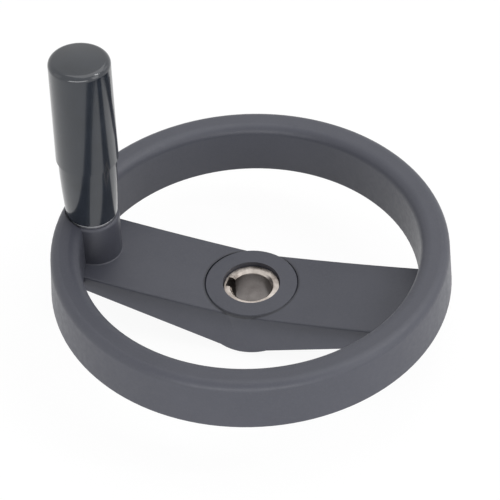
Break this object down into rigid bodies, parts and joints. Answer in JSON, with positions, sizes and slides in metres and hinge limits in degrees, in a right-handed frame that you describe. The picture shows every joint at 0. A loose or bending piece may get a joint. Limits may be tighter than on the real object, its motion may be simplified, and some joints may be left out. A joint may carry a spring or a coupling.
{
  "type": "machine handwheel",
  "caption": "Round machine handwheel with a dished flat web, a keyed steel bush in its hub and a revolving glossy grip that stands on its rim.",
  "frame": {"origin": "centre of the bore at the hub's lower face", "axes": "+Z along the bore, away from the machine; the grip stands at -X; the web's arms lie along X"},
  "size_m": [0.1598, 0.1598, 0.1216],
  "materials": {
    "wheel_plastic": "fine matte",
    "bush_steel": "turned, nickel tone",
    "insert_brass": "plain",
    "spindle_steel": "zinc plated",
    "ring_steel": "spring wire",
    "grip_plastic": "polished"
  },
  "bodies": {
    "wheel": {"wheel_body": "wheel_plastic", "hub_bush": "bush_steel", "thread_insert": "insert_brass", "handle_spindle": "spindle_steel", "snap_ring": "ring_steel"},
    "handle": {"grip": "grip_plastic"}
  },
  "joints": [
    {"name": "grip_spin", "type": "hinge", "parent": "wheel", "child": "handle", "pos_m": [-0.06585, 0, 0.04496], "axis": [0.0523, 0, 0.9986], "continuous": true}
  ]
}
